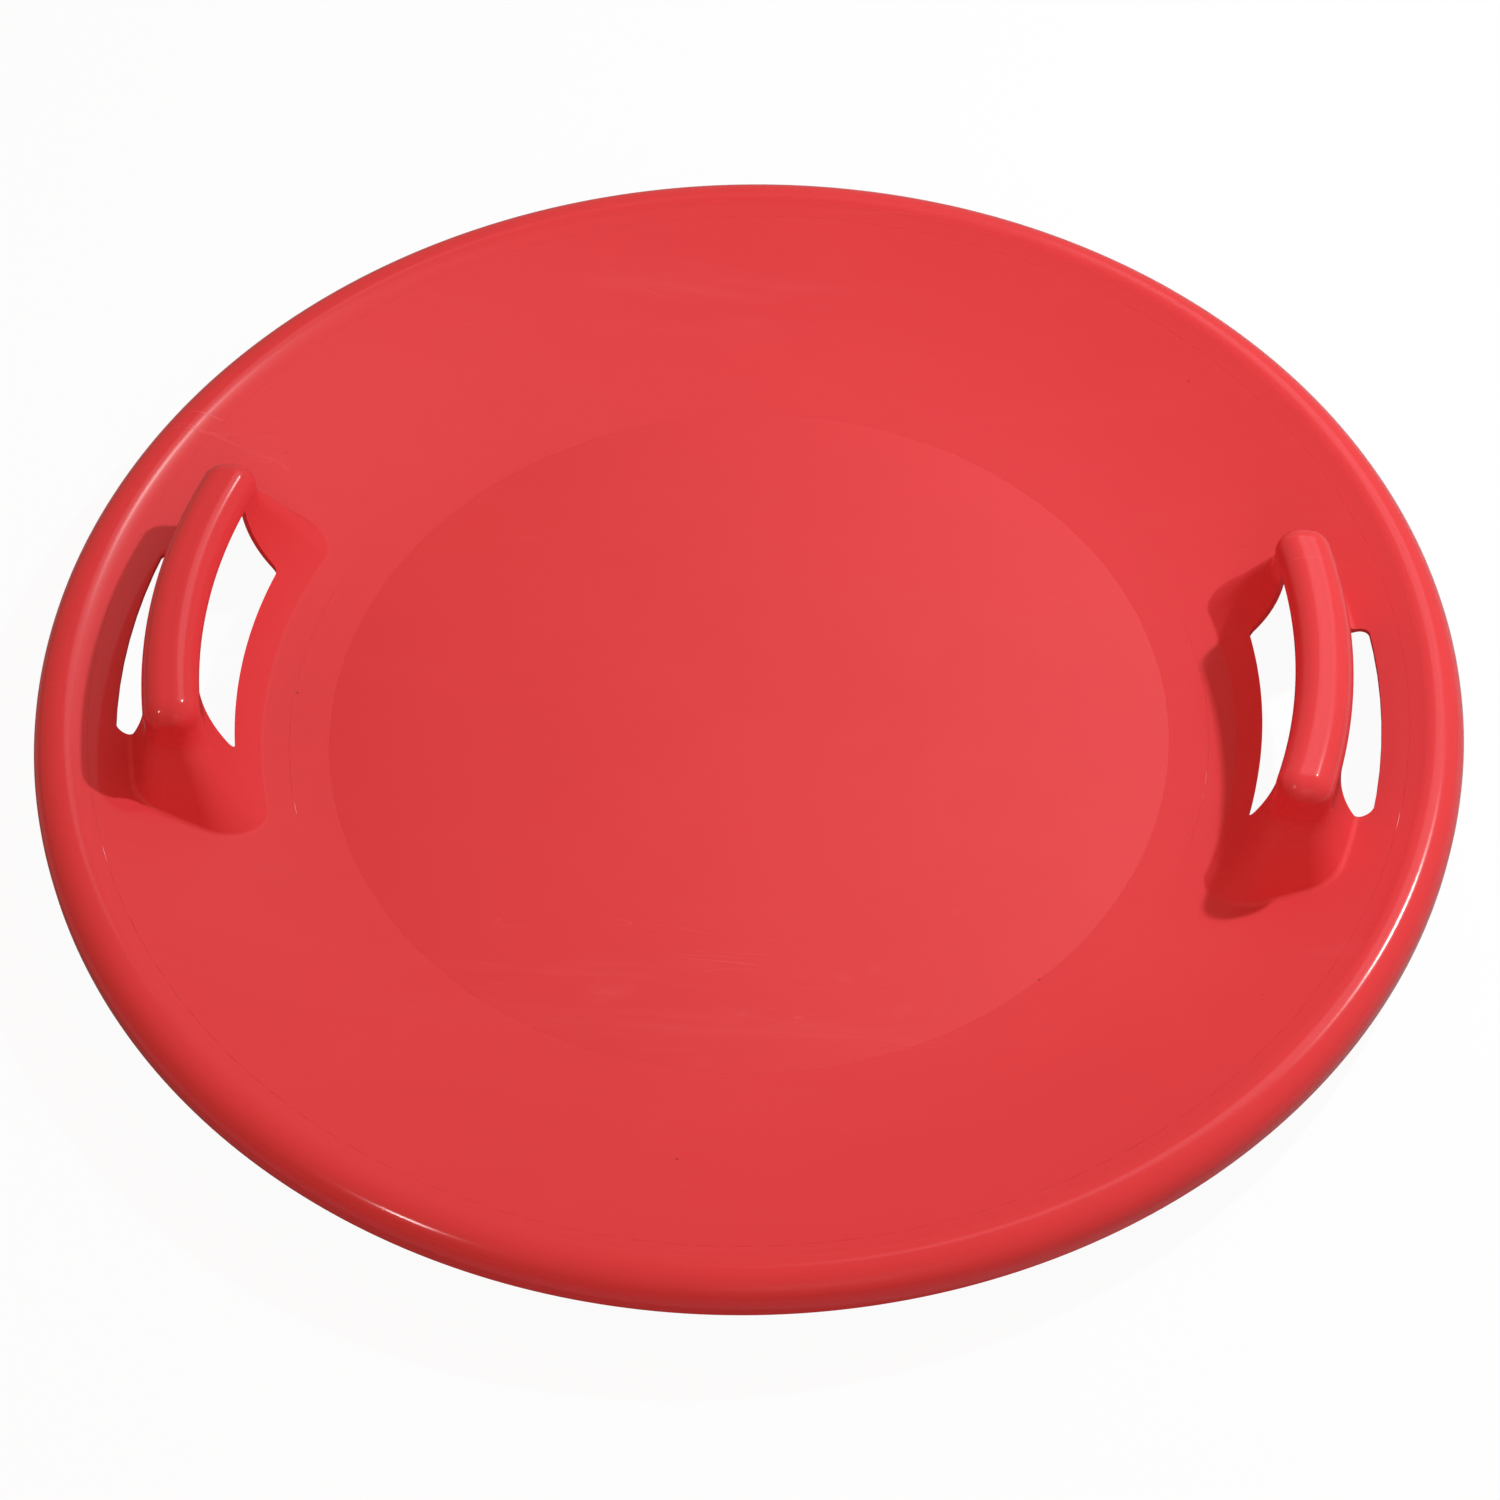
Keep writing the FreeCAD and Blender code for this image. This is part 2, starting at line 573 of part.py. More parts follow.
def slab(name, front, depth, low, high):
    """Makes a block that takes one stretch of the grip."""
    block = doc.addObject("Part::Box", name)
    block.setExpression("Length", "sizes.overall_diameter / 2")
    block.setExpression("Width", depth)
    block.setExpression("Height", "(%s) - (%s)" % (high, low))
    block.setExpression("Placement.Base.y", front)
    block.setExpression("Placement.Base.z", low)
    return block


stub = "(sizes.window_length / 2 - 2 * sizes.slot_corner_radius)"
above = "sizes.grip_height + sizes.cut_overrun"
below = "-sizes.cut_overrun"
middle = "(sizes.rim_height + %s) / 2" % SHOULDER
mid_block = slab("grip_block", "-" + stub, "2 * " + stub, middle, above)
sill_block = slab("sill_block", "-" + stub, "2 * " + stub, below, middle)
reach = "sizes.overall_diameter / 2"
front_block = slab("front_block", "-" + reach, reach + " - " + stub, below, above)
doc.recompute()

right_pieces = [
    boolean("Common", "right_grip", opened, mid_block),
    boolean("Common", "right_sill", opened, sill_block),
    boolean("Common", "right_front_foot", opened, front_block),
]
right_pieces.append(mirrored("right_rear_foot", right_pieces[-1], (0, 1, 0)))
nodes = [seat, side, rim]
for right_piece in right_pieces:
    nodes.append(right_piece)
    nodes.append(mirrored(right_piece.Label.replace("right", "left"), right_piece))
doc.recompute()

# Every object must have recomputed, and every piece must be one sound solid
for item in doc.Objects:
    if "Invalid" in item.State or "Error" in item.State:
        raise RuntimeError("object %s failed: %s" % (item.Label, item.State))
for node in nodes:
    if node.Shape.isNull() or not node.Shape.isValid():
        raise RuntimeError("piece %s has no sound shape" % node.Label)
    if len(node.Shape.Solids) != 1:
        raise RuntimeError("piece %s has %d solids" % (node.Label, len(node.Shape.Solids)))

os.makedirs("parts", exist_ok=True)
for node in nodes:
    node.Shape.exportStep("parts/%s.step" % node.Label)
    box = node.Shape.BoundBox
    print("%-18s volume %10.1f  z %6.2f to %6.2f" % (node.Label, node.Shape.Volume, box.ZMin, box.ZMax))
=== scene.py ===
"""Looks of a round plastic saucer sled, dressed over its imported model, in metres."""

import logging
import math
from dataclasses import dataclass, field, replace
from enum import Enum
from typing import Any

import bpy
from mathutils import Matrix, Vector


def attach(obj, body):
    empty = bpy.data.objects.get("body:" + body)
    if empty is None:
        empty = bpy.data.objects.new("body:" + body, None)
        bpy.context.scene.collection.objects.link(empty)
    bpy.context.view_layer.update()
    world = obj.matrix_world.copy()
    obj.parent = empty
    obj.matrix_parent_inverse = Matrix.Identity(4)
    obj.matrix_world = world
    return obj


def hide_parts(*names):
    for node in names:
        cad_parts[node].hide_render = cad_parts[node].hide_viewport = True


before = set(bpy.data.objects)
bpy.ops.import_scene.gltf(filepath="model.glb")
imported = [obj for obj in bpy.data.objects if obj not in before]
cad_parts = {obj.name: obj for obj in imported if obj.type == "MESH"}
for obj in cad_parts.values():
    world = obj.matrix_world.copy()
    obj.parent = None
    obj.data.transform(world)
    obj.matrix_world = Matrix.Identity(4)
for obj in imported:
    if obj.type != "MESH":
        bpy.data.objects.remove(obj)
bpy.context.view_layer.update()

LOG = logging.getLogger("saucer_sled")

Colour = tuple[float, float, float, float]
Point = tuple[float, float, float]
Spot = tuple[float, float]

WHITE: Colour = (1.0, 1.0, 1.0, 1.0)


class Side(Enum):
    """The two sides of the sled that carry a hand grip."""

    LEFT = "left"
    RIGHT = "right"


class Effect(Enum):
    """Surface effects that more than one finish uses, by the name of their node group."""

    FLOW = "moulding_flow"
    RUBS = "rub_streaks"
    HAIRLINES = "hairline_scratches"
    SPECKS = "fine_specks"
    SKIN = "moulded_skin"
    POLISH = "brim_polish"
    WEAR = "wear_places"


@dataclass(frozen=True)
class PlasticFinish:
    """One stretch of glossy moulded plastic.

    Attributes:
        name: Name of the material.
        colour: Colour of clean plastic.
        worn: Colour of scuffed plastic.
        satin: Roughness inside the dish.
        gloss: Roughness of the rim and the grips.
        rubs: How strongly rub streaks dull and pale the surface.
        lines: How strongly hairline scratches show.
        specks: How strongly fine dark specks show.
        least_wear: Share of the rubs and scratches outside the worn places.
        waviness: Height of the slow waves of the moulded skin, in metres.
    """

    name: str
    colour: Colour
    worn: Colour
    satin: float
    gloss: float
    rubs: float
    lines: float
    specks: float
    least_wear: float
    waviness: float


def clear_selection() -> None:
    """Deselects every object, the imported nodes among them."""
    bpy.ops.object.select_all(action="DESELECT")


class NodeSheet:
    """A node tree that is filled in step by step."""

    def __init__(self, tree: Any) -> None:
        """Takes over an empty tree.

        Args:
            tree: Node tree of a material, a world or a group.
        """
        self.tree = tree
        self.tree.nodes.clear()

    def add(self, kind: str, **settings: Any) -> Any:
        """Adds a node.

        Args:
            kind: Type name of the node.
            **settings: Properties of the node.

        Returns:
            The new node.
        """
        node = self.tree.nodes.new(kind)
        for key, value in settings.items():
            setattr(node, key, value)
        return node

    def join(self, source: Any, target: Any) -> None:
        """Links an output socket to an input socket."""
        self.tree.links.new(source, target)

    def feed(self, target: Any, value: Any) -> None:
        """Sets an input from a number, or links it from a socket.

        Args:
            target: Input socket.
            value: Plain value or output socket.
        """
        if isinstance(value, bpy.types.NodeSocket):
            self.join(value, target)
        else:
            target.default_value = value

    def maths(self, operation: str, first: Any, second: Any = 0.0, clamp: bool = False) -> Any:
        """Adds a sum of two values.

        Args:
            operation: Name of the operation.
            first: First value or socket.
            second: Second value or socket.
            clamp: Whether the result stays between 0 and 1.

        Returns:
            The output socket.
        """
        node = self.add("ShaderNodeMath", operation=operation, use_clamp=clamp)
        self.feed(node.inputs[0], first)
        self.feed(node.inputs[1], second)
        return node.outputs[0]

    def noise(self, place: Any, scale: float, detail: float = 3.0, rough: float = 0.55) -> Any:
        """Adds a noise pattern.

        Args:
            place: Socket with the coordinates.
            scale: Waves per metre.
            detail: Octaves of finer noise.
            rough: Strength of the finer octaves.

        Returns:
            The socket with the noise's value.
        """
        node = self.add("ShaderNodeTexNoise", noise_dimensions="3D")
        self.join(place, node.inputs["Vector"])
        node.inputs["Scale"].default_value = scale
        node.inputs["Detail"].default_value = detail
        node.inputs["Roughness"].default_value = rough
        return node.outputs["Fac"]

    def ramp(self, value: Any, low: float, high: float, to_low: float = 0.0, to_high: float = 1.0) -> Any:
        """Maps a stretch of values smoothly onto another.

        Args:
            value: Socket with the value.
            low: Value that gives to_low.
            high: Value that gives to_high.
            to_low: Result at the low end.
            to_high: Result at the high end.

        Returns:
            The output socket.
        """
        node = self.add("ShaderNodeMapRange", interpolation_type="SMOOTHSTEP")
        self.join(value, node.inputs["Value"])
        node.inputs["From Min"].default_value = low
        node.inputs["From Max"].default_value = high
        node.inputs["To Min"].default_value = to_low
        node.inputs["To Max"].default_value = to_high
        return node.outputs["Result"]

    def turned(self, place: Any, angle: float, stretch: Point) -> Any:
        """Turns coordinates about the upright axis and stretches them.

        Args:
            place: Socket with the coordinates.
            angle: Turn in degrees.
            stretch: Scale along each axis.

        Returns:
            The socket with the new coordinates.
        """
        node = self.add("ShaderNodeMapping", vector_type="POINT")
        self.join(place, node.inputs["Vector"])
        node.inputs["Rotation"].default_value = (0.0, 0.0, math.radians(angle))
        node.inputs["Scale"].default_value = stretch
        return node.outputs["Vector"]


@dataclass(frozen=True)
class WornPlace:
    """A place that boots, gloves or stacking have worn.

    Attributes:
        name: Where it is on the sled.
        centre: Middle of the place.
        reach: How far it reaches along each axis.
        strength: How worn it is, from 0 to 1.
    """

    name: str
    centre: Point
    reach: Point
    strength: float


WORN_PLACES: tuple[WornPlace, ...] = (
    WornPlace("seat_front", (0.0, -0.15, 0.0), (0.17, 0.06, 0.05), 1.0),
    WornPlace("seat_left", (-0.19, -0.1, 0.0), (0.04, 0.045, 0.05), 0.8),
    WornPlace("behind_left_grip", (-0.262, 0.128, 0.036), (0.045, 0.05, 0.03), 1.0),
    WornPlace("slope_back", (-0.05, 0.25, 0.02), (0.12, 0.05, 0.05), 0.6),
    WornPlace("before_right_grip", (0.27, -0.13, 0.036), (0.04, 0.05, 0.03), 0.5),
    WornPlace("right_bar", (0.258, 0.06, 0.076), (0.03, 0.03, 0.02), 0.8),
    WornPlace("left_bar", (-0.258, 0.06, 0.076), (0.03, 0.03, 0.02), 0.8),
)


@dataclass(frozen=True)
class ScratchSet:
    """Fine scratches that run in one direction.

    Attributes:
        angle: Direction in degrees.
        scale: Waves per metre along the scratches.
        closeness: How many times closer the waves are across them.
    """

    angle: float
    scale: float
    closeness: float


SCRATCH_SETS: tuple[ScratchSet, ...] = (
    ScratchSet(11.0, 8.0, 16.0),
    ScratchSet(64.0, 6.0, 14.0),
    ScratchSet(-37.0, 9.0, 12.0),
)


class EffectLibrary:
    """Builds the shared effects once and hands them out by name.

    Attributes:
        FINE_FLOW: Share of the fine pattern in the drift of tone.
        SMUDGE: Strength of a smudge beside a streak.
        SCRATCH_LEVEL: Value of the noise along which a scratch runs.
        SCRATCH_WIDTH: Width of a scratch, in values of the noise.
        SPECK_CELLS: Cells per metre that may hold a speck.
        SPECKLESS: Share of the cells that hold none.
        PEBBLES: Height of the pebbling beside the slow waves.
        BRIM: Radii between which the satin dish turns into the glossy rim.
        RAISED: Heights between which the satin dish turns into a glossy grip.
        WORN_CORE: Share of a worn place's reach that is worn in full.
    """

    FINE_FLOW = 0.35
    SMUDGE = 0.6
    SCRATCH_LEVEL = 0.52
    SCRATCH_WIDTH = 0.006
    SPECK_CELLS = 34.0
    SPECKLESS = 0.72
    PEBBLES = 0.03
    BRIM = (0.3, 0.312)
    RAISED = (0.046, 0.062)
    WORN_CORE = 0.25

    def __init__(self) -> None:
        """Builds every effect as a node group."""
        self.groups: dict[Effect, Any] = {
            Effect.FLOW: self.flow(),
            Effect.RUBS: self.rubs(),
            Effect.HAIRLINES: self.hairlines(),
            Effect.SPECKS: self.specks(),
            Effect.SKIN: self.skin(),
            Effect.POLISH: self.polish(),
            Effect.WEAR: self.wear(),
        }

    @staticmethod
    def group(effect: Effect, outlet: str) -> tuple[Any, NodeSheet, Any, Any]:
        """Starts a group that reads a place and puts out one value.

        Args:
            effect: The effect that the group makes.
            outlet: Name of its output.

        Returns:
            The group, its sheet, the socket with the place, and the output socket to fill.
        """
        tree = bpy.data.node_groups.new(effect.value, "ShaderNodeTree")
        tree.interface.new_socket("Place", in_out="INPUT", socket_type="NodeSocketVector")
        tree.interface.new_socket(outlet, in_out="OUTPUT", socket_type="NodeSocketFloat")
        sheet = NodeSheet(tree)
        place = sheet.add("NodeGroupInput").outputs["Place"]
        result = sheet.add("NodeGroupOutput").inputs[outlet]
        return tree, sheet, place, result

    def flow(self) -> Any:
        """Makes the slow drift of tone that the plastic's flow in the mould leaves."""
        tree, sheet, place, result = self.group(Effect.FLOW, "Tone")
        broad = sheet.noise(place, scale=4.0, detail=2.0)
        fine = sheet.maths("MULTIPLY", sheet.noise(place, scale=30.0), self.FINE_FLOW)
        sheet.join(sheet.ramp(sheet.maths("ADD", broad, fine), low=0.4, high=0.95), result)
        return tree

    def rubs(self) -> Any:
        """Makes soft pale streaks, left by boots and snow, and a few hazy smudges."""
        tree, sheet, place, result = self.group(Effect.RUBS, "Rub")
        drawn = sheet.turned(place, angle=14.0, stretch=(1.0, 11.0, 3.0))
        streak = sheet.ramp(sheet.noise(drawn, scale=4.6, detail=5.0, rough=0.66), low=0.5, high=0.86)
        wiped = sheet.turned(place, angle=-20.0, stretch=(1.0, 1.7, 1.0))
        smudge = sheet.ramp(sheet.noise(wiped, scale=24.0, detail=4.0, rough=0.62), low=0.55, high=0.85)
        haze = sheet.maths("MULTIPLY", smudge, self.SMUDGE)
        sheet.join(sheet.maths("MAXIMUM", streak, haze), result)
        return tree

    def hairlines(self) -> Any:
        """Makes fine separate scratches in a few directions."""
        tree, sheet, place, result = self.group(Effect.HAIRLINES, "Line")
        lines = None
        for scratches in SCRATCH_SETS:
            drawn = sheet.turned(place, scratches.angle, stretch=(1.0, scratches.closeness, 2.0))
            long = sheet.noise(drawn, scratches.scale, detail=1.0, rough=0.3)
            ridge = sheet.maths("ABSOLUTE", sheet.maths("SUBTRACT", long, self.SCRATCH_LEVEL))
            thin = sheet.ramp(ridge, low=0.0, high=self.SCRATCH_WIDTH, to_low=1.0, to_high=0.0)
            stretches = sheet.turned(place, scratches.angle, stretch=(1.0, 2.5, 1.0))
            broken = sheet.ramp(sheet.noise(stretches, scale=13.0, detail=2.0), low=0.54, high=0.64)
            line = sheet.maths("MULTIPLY", thin, broken)
            lines = line if lines is None else sheet.maths("MAXIMUM", lines, line)
        sheet.join(lines, result)
        return tree

    def specks(self) -> Any:
        """Makes tiny dark specks, far apart."""
        tree, sheet, place, result = self.group(Effect.SPECKS, "Speck")
        cells = sheet.add("ShaderNodeTexVoronoi", feature="F1", voronoi_dimensions="3D")
        sheet.join(place, cells.inputs["Vector"])
        cells.inputs["Scale"].default_value = self.SPECK_CELLS
        dot = sheet.ramp(cells.outputs["Distance"], low=0.014, high=0.03, to_low=1.0, to_high=0.0)
        split = sheet.add("ShaderNodeSeparateColor")
        sheet.join(cells.outputs["Color"], split.inputs["Color"])
        chosen = sheet.maths("GREATER_THAN", split.outputs["Red"], self.SPECKLESS)
        sheet.join(sheet.maths("MULTIPLY", dot, chosen), result)
        return tree

    def skin(self) -> Any:
        """Makes the slow waves and the fine pebbling of a moulded skin."""
        tree, sheet, place, result = self.group(Effect.SKIN, "Height")
        waves = sheet.noise(place, scale=16.0, detail=1.0, rough=0.4)
        grain = sheet.noise(place, scale=420.0, detail=1.0, rough=0.5)
        sheet.join(sheet.maths("ADD", waves, sheet.maths("MULTIPLY", grain, self.PEBBLES)), result)
        return tree

    def polish(self) -> Any:
        """Makes the mask of the glossier rim and grips over the satin inside of the dish."""
        tree, sheet, place, result = self.group(Effect.POLISH, "Gloss")
        parts = sheet.add("ShaderNodeSeparateXYZ")
        sheet.join(place, parts.inputs["Vector"])
        across = sheet.maths("MULTIPLY", parts.outputs["X"], parts.outputs["X"])
        along = sheet.maths("MULTIPLY", parts.outputs["Y"], parts.outputs["Y"])
        reach = sheet.maths("SQRT", sheet.maths("ADD", across, along))
        brim = sheet.ramp(reach, *self.BRIM)
        raised = sheet.ramp(parts.outputs["Z"], *self.RAISED)
        sheet.join(sheet.maths("MAXIMUM", brim, raised), result)
        return tree

    def wear(self) -> Any:
        """Makes the mask of the places that boots, gloves and stacking have worn."""
        tree, sheet, place, result = self.group(Effect.WEAR, "Worn")
        total = None
        for worn in WORN_PLACES:
            spot = sheet.add("ShaderNodeMapping", vector_type="TEXTURE", label=worn.name)
            sheet.join(place, spot.inputs["Vector"])
            spot.inputs["Location"].default_value = worn.centre
            spot.inputs["Scale"].default_value = worn.reach
            away = sheet.add("ShaderNodeVectorMath", operation="LENGTH")
            sheet.join(spot.outputs["Vector"], away.inputs[0])
            mask = sheet.ramp(away.outputs["Value"], self.WORN_CORE, 1.0, worn.strength, 0.0)
            total = mask if total is None else sheet.maths("MAXIMUM", total, mask)
        sheet.join(total, result)
        return tree

    def place(self, sheet: NodeSheet, effect: Effect, place: Any) -> Any:
        """Puts an effect into a material.

        Args:
            sheet: Sheet of the material.
            effect: The effect to place.
            place: Socket with the coordinates that it reads.

        Returns:
            The effect's output socket.
        """
        node = sheet.add("ShaderNodeGroup", node_tree=self.groups[effect])
        sheet.join(place, node.inputs["Place"])
        return node.outputs[0]

    def share(self, sheet: NodeSheet, effect: Effect, place: Any, amount: float) -> Any:
        """Puts an effect into a material at part of its strength.

        Args:
            sheet: Sheet of the material.
            effect: The effect to place.
            place: Socket with the coordinates that it reads.
            amount: Share of its strength.

        Returns:
            The socket with the weakened effect.
        """
        return sheet.maths("MULTIPLY", self.place(sheet, effect, place), amount, clamp=True)


class PlasticShop:
    """Makes the sled's plastic materials from their finishes.

    Attributes:
        IOR: How strongly the plastic refracts.
        DEEP_TONE: Deepest drift of tone, as a share of the clean colour.
        SPECK_TONE: Colour of a speck, as a share of the clean colour.
        RUBS_ON_GLOSS: Share of the rubs that shows on the rim and the grips.
        MARK_DULLING: Roughness that rubs and scratches add.
        TONE_DULLING: Roughness that the drift of tone adds.
        SCRATCH_DEPTH: Depth of a scratch, as a share of the skin's waves.
    """

    IOR = 1.5
    DEEP_TONE = 0.96
    SPECK_TONE = 0.45
    RUBS_ON_GLOSS = 0.25
    MARK_DULLING = 0.25
    TONE_DULLING = 0.03
    SCRATCH_DEPTH = 0.02

    def __init__(self, effects: EffectLibrary) -> None:
        """Keeps the shared effects and an empty shelf of materials."""
        self.effects = effects
        self.shelf: dict[str, Any] = {}

    def material(self, finish: PlasticFinish) -> Any:
        """Gives the material of a finish, made once.

        Args:
            finish: The finish to make.

        Returns:
            The material.
        """
        if finish.name not in self.shelf:
            self.shelf[finish.name] = self.make(finish)
        return self.shelf[finish.name]

    def colour(self, sheet: NodeSheet, finish: PlasticFinish, tone: Any, mark: Any, speck: Any) -> Any:
        """Lays drift, rubs and specks over the clean colour.

        Args:
            sheet: Sheet of the material.
            finish: The finish to make.
            tone: Socket with the drift of tone.
            mark: Socket with the rubs and scratches.
            speck: Socket with the specks.

        Returns:
            The socket with the colour.
        """
        layer: Any = tuple(self.DEEP_TONE * part for part in finish.colour[:3]) + (1.0,)
        dark = tuple(self.SPECK_TONE * part for part in finish.colour[:3]) + (1.0,)
        for amount, over in ((tone, finish.colour), (mark, finish.worn), (speck, dark)):
            mix = sheet.add("ShaderNodeMix", data_type="RGBA", blend_type="MIX")
            sheet.join(amount, mix.inputs["Factor"])
            sheet.feed(mix.inputs["A"], layer)
            sheet.feed(mix.inputs["B"], over)
            layer = mix.outputs["Result"]
        return layer

    def make(self, finish: PlasticFinish) -> Any:
        """Builds the nodes of one finish.

        Args:
            finish: The finish to make.

        Returns:
            The new material.
        """
        material = bpy.data.materials.new(finish.name)
        material.use_nodes = True
        material.diffuse_color = finish.colour
        sheet = NodeSheet(material.node_tree)
        shader = sheet.add("ShaderNodeBsdfPrincipled")
        sheet.join(shader.outputs["BSDF"], sheet.add("ShaderNodeOutputMaterial").inputs["Surface"])
        shader.inputs["IOR"].default_value = self.IOR

        place = sheet.add("ShaderNodeTexCoord").outputs["Object"]
        gloss = self.effects.place(sheet, Effect.POLISH, place)
        tone = self.effects.place(sheet, Effect.FLOW, place)
        wear = self.effects.place(sheet, Effect.WEAR, place)
        worn = sheet.ramp(wear, 0.0, 1.0, to_low=finish.least_wear, to_high=1.0)
        held = sheet.ramp(gloss, 0.0, 1.0, to_low=1.0, to_high=self.RUBS_ON_GLOSS)
        rub = self.effects.share(sheet, Effect.RUBS, place, finish.rubs)
        rub = sheet.maths("MULTIPLY", rub, sheet.maths("MULTIPLY", worn, held))
        line = self.effects.share(sheet, Effect.HAIRLINES, place, finish.lines)
        line = sheet.maths("MULTIPLY", line, worn)
        speck = self.effects.share(sheet, Effect.SPECKS, place, finish.specks)
        mark = sheet.maths("MAXIMUM", rub, line)
        sheet.join(self.colour(sheet, finish, tone, mark, speck), shader.inputs["Base Color"])

        base = sheet.ramp(gloss, 0.0, 1.0, to_low=finish.satin, to_high=finish.gloss)
        dull = sheet.maths("MULTIPLY", mark, self.MARK_DULLING)
        drift = sheet.maths("MULTIPLY", tone, self.TONE_DULLING)
        rough = sheet.maths("ADD", sheet.maths("ADD", base, dull), drift, clamp=True)
        sheet.join(rough, shader.inputs["Roughness"])

        dent = sheet.maths("MULTIPLY", line, self.SCRATCH_DEPTH)
        height = sheet.maths("SUBTRACT", self.effects.place(sheet, Effect.SKIN, place), dent)
        bump = sheet.add("ShaderNodeBump")
        bump.inputs["Strength"].default_value = 1.0
        bump.inputs["Distance"].default_value = finish.waviness
        sheet.join(height, bump.inputs["Height"])
        sheet.join(bump.outputs["Normal"], shader.inputs["Normal"])
        return material


CLEAN_RED: Colour = (0.73, 0.046, 0.052, 1.0)
RUBBED_RED: Colour = (0.80, 0.14, 0.15, 1.0)

SHELL_PLASTIC = PlasticFinish(
    name="shell_plastic",
    colour=CLEAN_RED,
    worn=RUBBED_RED,
    satin=0.6,
    gloss=0.14,
    rubs=0.4,
    lines=0.5,
    specks=0.8,
    least_wear=0.12,
    waviness=0.0003,
)
SEAT_PLASTIC = replace(SHELL_PLASTIC, name="seat_plastic", satin=0.42)


def dress(name: str, material: Any) -> None:
    """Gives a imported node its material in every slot.

    Args:
        name: Name of the node.
        material: The material that it gets.
    """
    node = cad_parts[name]
    if not node.material_slots:
        node.data.materials.append(material)
    for slot in node.material_slots:
        slot.material = material
    LOG.info("dressed %s in %s", name, material.name)


@dataclass(frozen=True)
class RimSection:
    """Section of the rolled rim, from the end of the slope to the turned-down lip.

    Attributes:
        outer_radius: Radius of the rim's outer side.
        inner_radius: Radius where the side wall ends and the rim begins.
        seat_radius: Radius of the flat seat, where the slope starts.
        height: Height of the rim's crest.
        roll: Radius of the roll.
        slope: Radius of the slope's curve.
        wall: Thickness of the plastic.
        lip_drop: How far the lip hangs below the crest.
        arc_steps: Steps along each arc.
    """

    outer_radius: float = 0.325
    inner_radius: float = 0.3
    seat_radius: float = 0.195
    height: float = 0.044
    roll: float = 0.012
    slope: float = 0.317
    wall: float = 0.002
    lip_drop: float = 0.0175
    arc_steps: int = 14

    def arc(self, centre: Spot, radius: float, start: float, end: float) -> list[Spot]:
        """Gives evenly spaced points of an arc.

        Args:
            centre: Middle of the arc.
            radius: Radius of the arc.
            start: First direction from the middle.
            end: Last direction from the middle.

        Returns:
            The points, both ends among them.
        """
        points = []
        for step in range(self.arc_steps + 1):
            turn = start + (end - start) * step / self.arc_steps
            points.append((centre[0] + radius * math.cos(turn), centre[1] + radius * math.sin(turn)))
        return points

    def flank(self, middle: Spot, roll: float, slope: float, foot: float) -> tuple[list[Spot], float]:
        """Gives the end of the slope, which runs smoothly into the roll.

        Args:
            middle: Middle of the roll.
            roll: Radius of the roll on this face.
            slope: Radius of the slope on this face.
            foot: Height of the seat on this face.

        Returns:
            The points from the side wall to the roll, and the direction on the roll where they meet.
        """
        gap = (self.seat_radius - middle[0], foot - middle[1])
        reach = math.hypot(*gap)
        lean = ((roll ** 2 - reach ** 2) / (2 * slope) + roll) / reach
        aim = math.atan2(gap[1], gap[0]) - math.acos(lean)
        centre = (self.seat_radius + slope * math.cos(aim), foot + slope * math.sin(aim))
        meet = math.atan2(centre[1] - middle[1], centre[0] - middle[0])
        first = -math.acos((self.inner_radius - centre[0]) / slope)
        return self.arc(centre, slope, first, meet - math.pi), meet

    def points(self) -> list[Spot]:
        """Gives the section's outline as one closed loop of radii and heights."""
        middle = (self.outer_radius - self.roll, self.height - self.roll)
        edge = self.wall / 2
        lip = (self.outer_radius - edge, self.height - self.lip_drop + edge)
        upper, upper_meet = self.flank(middle, self.roll, self.slope, self.wall)
        lower, lower_meet = self.flank(middle, self.roll - self.wall, self.slope + self.wall, 0.0)
        outline = upper + self.arc(middle, self.roll, upper_meet, 0.0)[1:]
        outline += self.arc(lip, edge, 0.0, -math.pi)
        outline += self.arc(middle, self.roll - self.wall, 0.0, lower_meet)
        return outline + lower[-2::-1]


